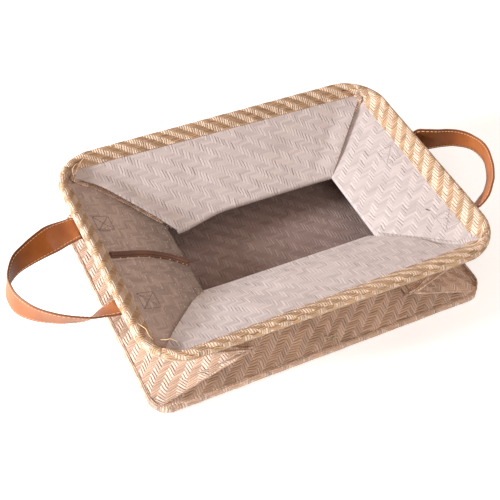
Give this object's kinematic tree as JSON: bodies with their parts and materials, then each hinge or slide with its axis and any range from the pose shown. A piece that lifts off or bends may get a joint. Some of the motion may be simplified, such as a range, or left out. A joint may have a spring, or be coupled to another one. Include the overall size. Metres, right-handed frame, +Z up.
{
  "type": "collapsible fabric storage bin",
  "caption": "Rectangular woven storage bin that folds flat: wired rim ring, eight board-stiffened half walls creased inwards at mid height, gusseted corners, base tray and two strap handles.",
  "frame": {"origin": "centre of the base's underside", "axes": "+Z up, +X along the length towards the right handle, -Y towards the front"},
  "size_m": [0.534, 0.28, 0.0851],
  "materials": {
    "outer_weave": "coarse herringbone straw weave, matt",
    "rim_weave": "the outer weave on the bias, rolled over the wire",
    "lining_weave": "pale pinkish herringbone weave, matt",
    "stiffener_board": "grey fibreboard",
    "rim_wire": "drawn wire",
    "handle_strap": "orange tan leatherette, satin",
    "thread": "twisted sewing thread",
    "seam_binding": "brown leatherette tape, folded over the seam and stitched"
  },
  "bodies": {
    "base": {"base_cover": "outer_weave", "base_board": "stiffener_board", "base_lining": "lining_weave"},
    "front_lower": {"front_lower_cover": "outer_weave", "front_lower_board": "stiffener_board", "front_lower_lining": "lining_weave"},
    "front_upper": {"front_upper_cover": "outer_weave", "front_upper_board": "stiffener_board", "front_upper_lining": "lining_weave", "front_hem": "outer_weave"},
    "back_lower": {"back_lower_cover": "outer_weave", "back_lower_board": "stiffener_board", "back_lower_lining": "lining_weave"},
    "back_upper": {"back_upper_cover": "outer_weave", "back_upper_board": "stiffener_board", "back_upper_lining": "lining_weave", "back_hem": "outer_weave"},
    "left_lower": {"left_lower_cover": "outer_weave", "left_lower_board": "stiffener_board", "left_lower_lining": "lining_weave", "left_lower_seam_binding": "seam_binding"},
    "left_upper": {"left_upper_cover": "outer_weave", "left_upper_board": "stiffener_board", "left_upper_lining": "lining_weave", "left_hem": "outer_weave", "left_upper_seam_binding": "seam_binding", "left_handle_ends": "handle_strap", "left_handle_stitches": "thread"},
    "right_lower": {"right_lower_cover": "outer_weave", "right_lower_board": "stiffener_board", "right_lower_lining": "lining_weave"},
    "right_upper": {"right_upper_cover": "outer_weave", "right_upper_board": "stiffener_board", "right_upper_lining": "lining_weave", "right_hem": "outer_weave", "right_handle_ends": "handle_strap", "right_handle_stitches": "thread"},
    "rim": {"rim_wire": "rim_wire", "rim_roll": "rim_weave"},
    "left_handle": {"left_handle_strap": "handle_strap"},
    "right_handle": {"right_handle_strap": "handle_strap"},
    "front_left_lower_gusset": {"front_left_lower_gusset": "outer_weave"},
    "front_left_upper_gusset": {"front_left_upper_gusset": "outer_weave"},
    "front_right_lower_gusset": {"front_right_lower_gusset": "outer_weave"},
    "front_right_upper_gusset": {"front_right_upper_gusset": "outer_weave"},
    "back_left_lower_gusset": {"back_left_lower_gusset": "outer_weave"},
    "back_left_upper_gusset": {"back_left_upper_gusset": "outer_weave"},
    "back_right_lower_gusset": {"back_right_lower_gusset": "outer_weave"},
    "back_right_upper_gusset": {"back_right_upper_gusset": "outer_weave"}
  },
  "joints": [
    {"name": "fold", "type": "hinge", "parent": "base", "child": "front_lower", "pos_m": [0, -0.135, 0.0076], "axis": [-1, 0, 0], "range_deg": [-68.7, 9.3], "deforming": ["front_left_lower_gusset", "front_left_upper_gusset", "front_right_lower_gusset", "front_right_upper_gusset", "back_left_lower_gusset", "back_left_upper_gusset", "back_right_lower_gusset", "back_right_upper_gusset"]},
    {"name": "front_crease", "type": "hinge", "parent": "front_lower", "child": "front_upper", "pos_m": [0, -0.04723, 0.04182], "axis": [-1, 0, 0], "range_deg": [-18.61, 137.41]},
    {"name": "front_rim_hinge", "type": "hinge", "parent": "front_upper", "child": "rim", "pos_m": [0, -0.135, 0.07604], "axis": [-1, 0, 0], "range_deg": [-68.71, 9.31]},
    {"name": "back_base_hinge", "type": "hinge", "parent": "base", "child": "back_lower", "pos_m": [0, 0.135, 0.0076], "axis": [1, 0, 0], "range_deg": [-68.71, 9.31]},
    {"name": "back_rim_hinge", "type": "hinge", "parent": "rim", "child": "back_upper", "pos_m": [0, 0.135, 0.07604], "axis": [-1, 0, 0], "range_deg": [-68.71, 9.31]},
    {"name": "left_base_hinge", "type": "hinge", "parent": "base", "child": "left_lower", "pos_m": [-0.185, 0, 0.0116], "axis": [0, 1, 0], "range_deg": [-70.44, 9.54]},
    {"name": "left_rim_hinge", "type": "hinge", "parent": "rim", "child": "left_upper", "pos_m": [-0.185, 0, 0.07204], "axis": [0, -1, 0], "range_deg": [-70.44, 9.54]},
    {"name": "right_base_hinge", "type": "hinge", "parent": "base", "child": "right_lower", "pos_m": [0.185, 0, 0.0116], "axis": [0, -1, 0], "range_deg": [-70.44, 9.54]},
    {"name": "right_rim_hinge", "type": "hinge", "parent": "rim", "child": "right_upper", "pos_m": [0.185, 0, 0.07204], "axis": [0, 1, 0], "range_deg": [-70.44, 9.54]},
    {"name": "front_left_lower_mitre", "type": "hinge", "parent": "front_lower", "child": "front_left_lower_gusset", "pos_m": [-0.185, -0.135, 0.0076], "axis": [0.7146, 0.6517, 0.2541], "range_deg": [-151.39, 20.5]},
    {"name": "front_left_upper_mitre", "type": "hinge", "parent": "front_upper", "child": "front_left_upper_gusset", "pos_m": [-0.185, -0.135, 0.07604], "axis": [-0.7146, -0.6517, 0.2541], "range_deg": [-151.39, 20.5]},
    {"name": "front_right_lower_mitre", "type": "hinge", "parent": "front_lower", "child": "front_right_lower_gusset", "pos_m": [0.185, -0.135, 0.0076], "axis": [0.7146, -0.6517, -0.2541], "range_deg": [-151.39, 20.5]},
    {"name": "front_right_upper_mitre", "type": "hinge", "parent": "front_upper", "child": "front_right_upper_gusset", "pos_m": [0.185, -0.135, 0.07604], "axis": [-0.7146, 0.6517, -0.2541], "range_deg": [-151.39, 20.5]},
    {"name": "back_left_lower_mitre", "type": "hinge", "parent": "back_lower", "child": "back_left_lower_gusset", "pos_m": [-0.185, 0.135, 0.0076], "axis": [-0.7146, 0.6517, -0.2541], "range_deg": [-151.39, 20.5]},
    {"name": "back_left_upper_mitre", "type": "hinge", "parent": "back_upper", "child": "back_left_upper_gusset", "pos_m": [-0.185, 0.135, 0.07604], "axis": [0.7146, -0.6517, -0.2541], "range_deg": [-151.39, 20.5]},
    {"name": "back_right_lower_mitre", "type": "hinge", "parent": "back_lower", "child": "back_right_lower_gusset", "pos_m": [0.185, 0.135, 0.0076], "axis": [-0.7146, -0.6517, 0.2541], "range_deg": [-151.39, 20.5]},
    {"name": "back_right_upper_mitre", "type": "hinge", "parent": "back_upper", "child": "back_right_upper_gusset", "pos_m": [0.185, 0.135, 0.07604], "axis": [0.7146, 0.6517, 0.2541], "range_deg": [-151.39, 20.5]},
    {"name": "left_handle_lift", "type": "hinge", "parent": "rim", "child": "left_handle", "pos_m": [-0.1915, -0.004, 0.075], "axis": [0, 1, 0], "range_deg": [-45, 75]},
    {"name": "right_handle_lift", "type": "hinge", "parent": "rim", "child": "right_handle", "pos_m": [0.1915, -0.02, 0.075], "axis": [0, -1, 0], "range_deg": [-45, 75]}
  ],
  "couplings": [
    {"joint": "front_crease", "follows": "fold", "ratio": -2},
    {"joint": "front_rim_hinge", "follows": "fold", "ratio": 1},
    {"joint": "back_base_hinge", "follows": "fold", "ratio": 1},
    {"joint": "back_rim_hinge", "follows": "fold", "ratio": 1},
    {"joint": "left_base_hinge", "follows": "fold", "ratio": 1.0251},
    {"joint": "left_rim_hinge", "follows": "fold", "ratio": 1.0251},
    {"joint": "right_base_hinge", "follows": "fold", "ratio": 1.0251},
    {"joint": "right_rim_hinge", "follows": "fold", "ratio": 1.0251},
    {"joint": "front_left_lower_mitre", "follows": "fold", "ratio": 2.2036},
    {"joint": "front_left_upper_mitre", "follows": "fold", "ratio": 2.2036},
    {"joint": "front_right_lower_mitre", "follows": "fold", "ratio": 2.2036},
    {"joint": "front_right_upper_mitre", "follows": "fold", "ratio": 2.2036},
    {"joint": "back_left_lower_mitre", "follows": "fold", "ratio": 2.2036},
    {"joint": "back_left_upper_mitre", "follows": "fold", "ratio": 2.2036},
    {"joint": "back_right_lower_mitre", "follows": "fold", "ratio": 2.2036},
    {"joint": "back_right_upper_mitre", "follows": "fold", "ratio": 2.2036}
  ]
}
